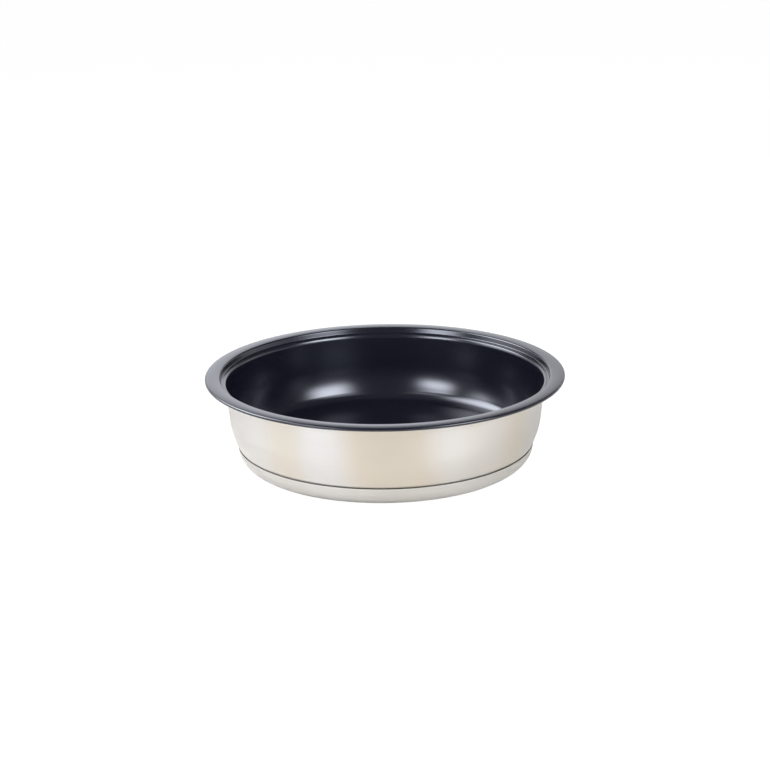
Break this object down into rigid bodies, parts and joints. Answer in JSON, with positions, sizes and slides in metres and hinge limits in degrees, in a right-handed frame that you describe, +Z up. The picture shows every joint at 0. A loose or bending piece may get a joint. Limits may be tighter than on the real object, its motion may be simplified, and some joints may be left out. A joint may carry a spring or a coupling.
{
  "type": "handleless round pan",
  "caption": "Shallow round open pan with no handle: steel shell, dark non-stick lining, wide crowned flange with a lid seat, and a thick encapsulated base.",
  "frame": {"origin": "on the table, under the centre of the base", "axes": "+Z up along the pan's axis of revolution; X and Y are free, since the pan is round"},
  "size_m": [0.276, 0.276, 0.0692],
  "materials": {
    "shell_steel": "satin stainless steel, brushed round the wall",
    "nonstick": "smooth satin blue-black non-stick coating",
    "core_aluminium": "plain pressed aluminium",
    "capsule_steel": "satin stainless steel, turned underneath"
  },
  "bodies": {
    "root": {"pan_shell": "shell_steel", "nonstick_lining": "nonstick", "base_core": "core_aluminium", "base_capsule": "capsule_steel"}
  },
  "joints": []
}
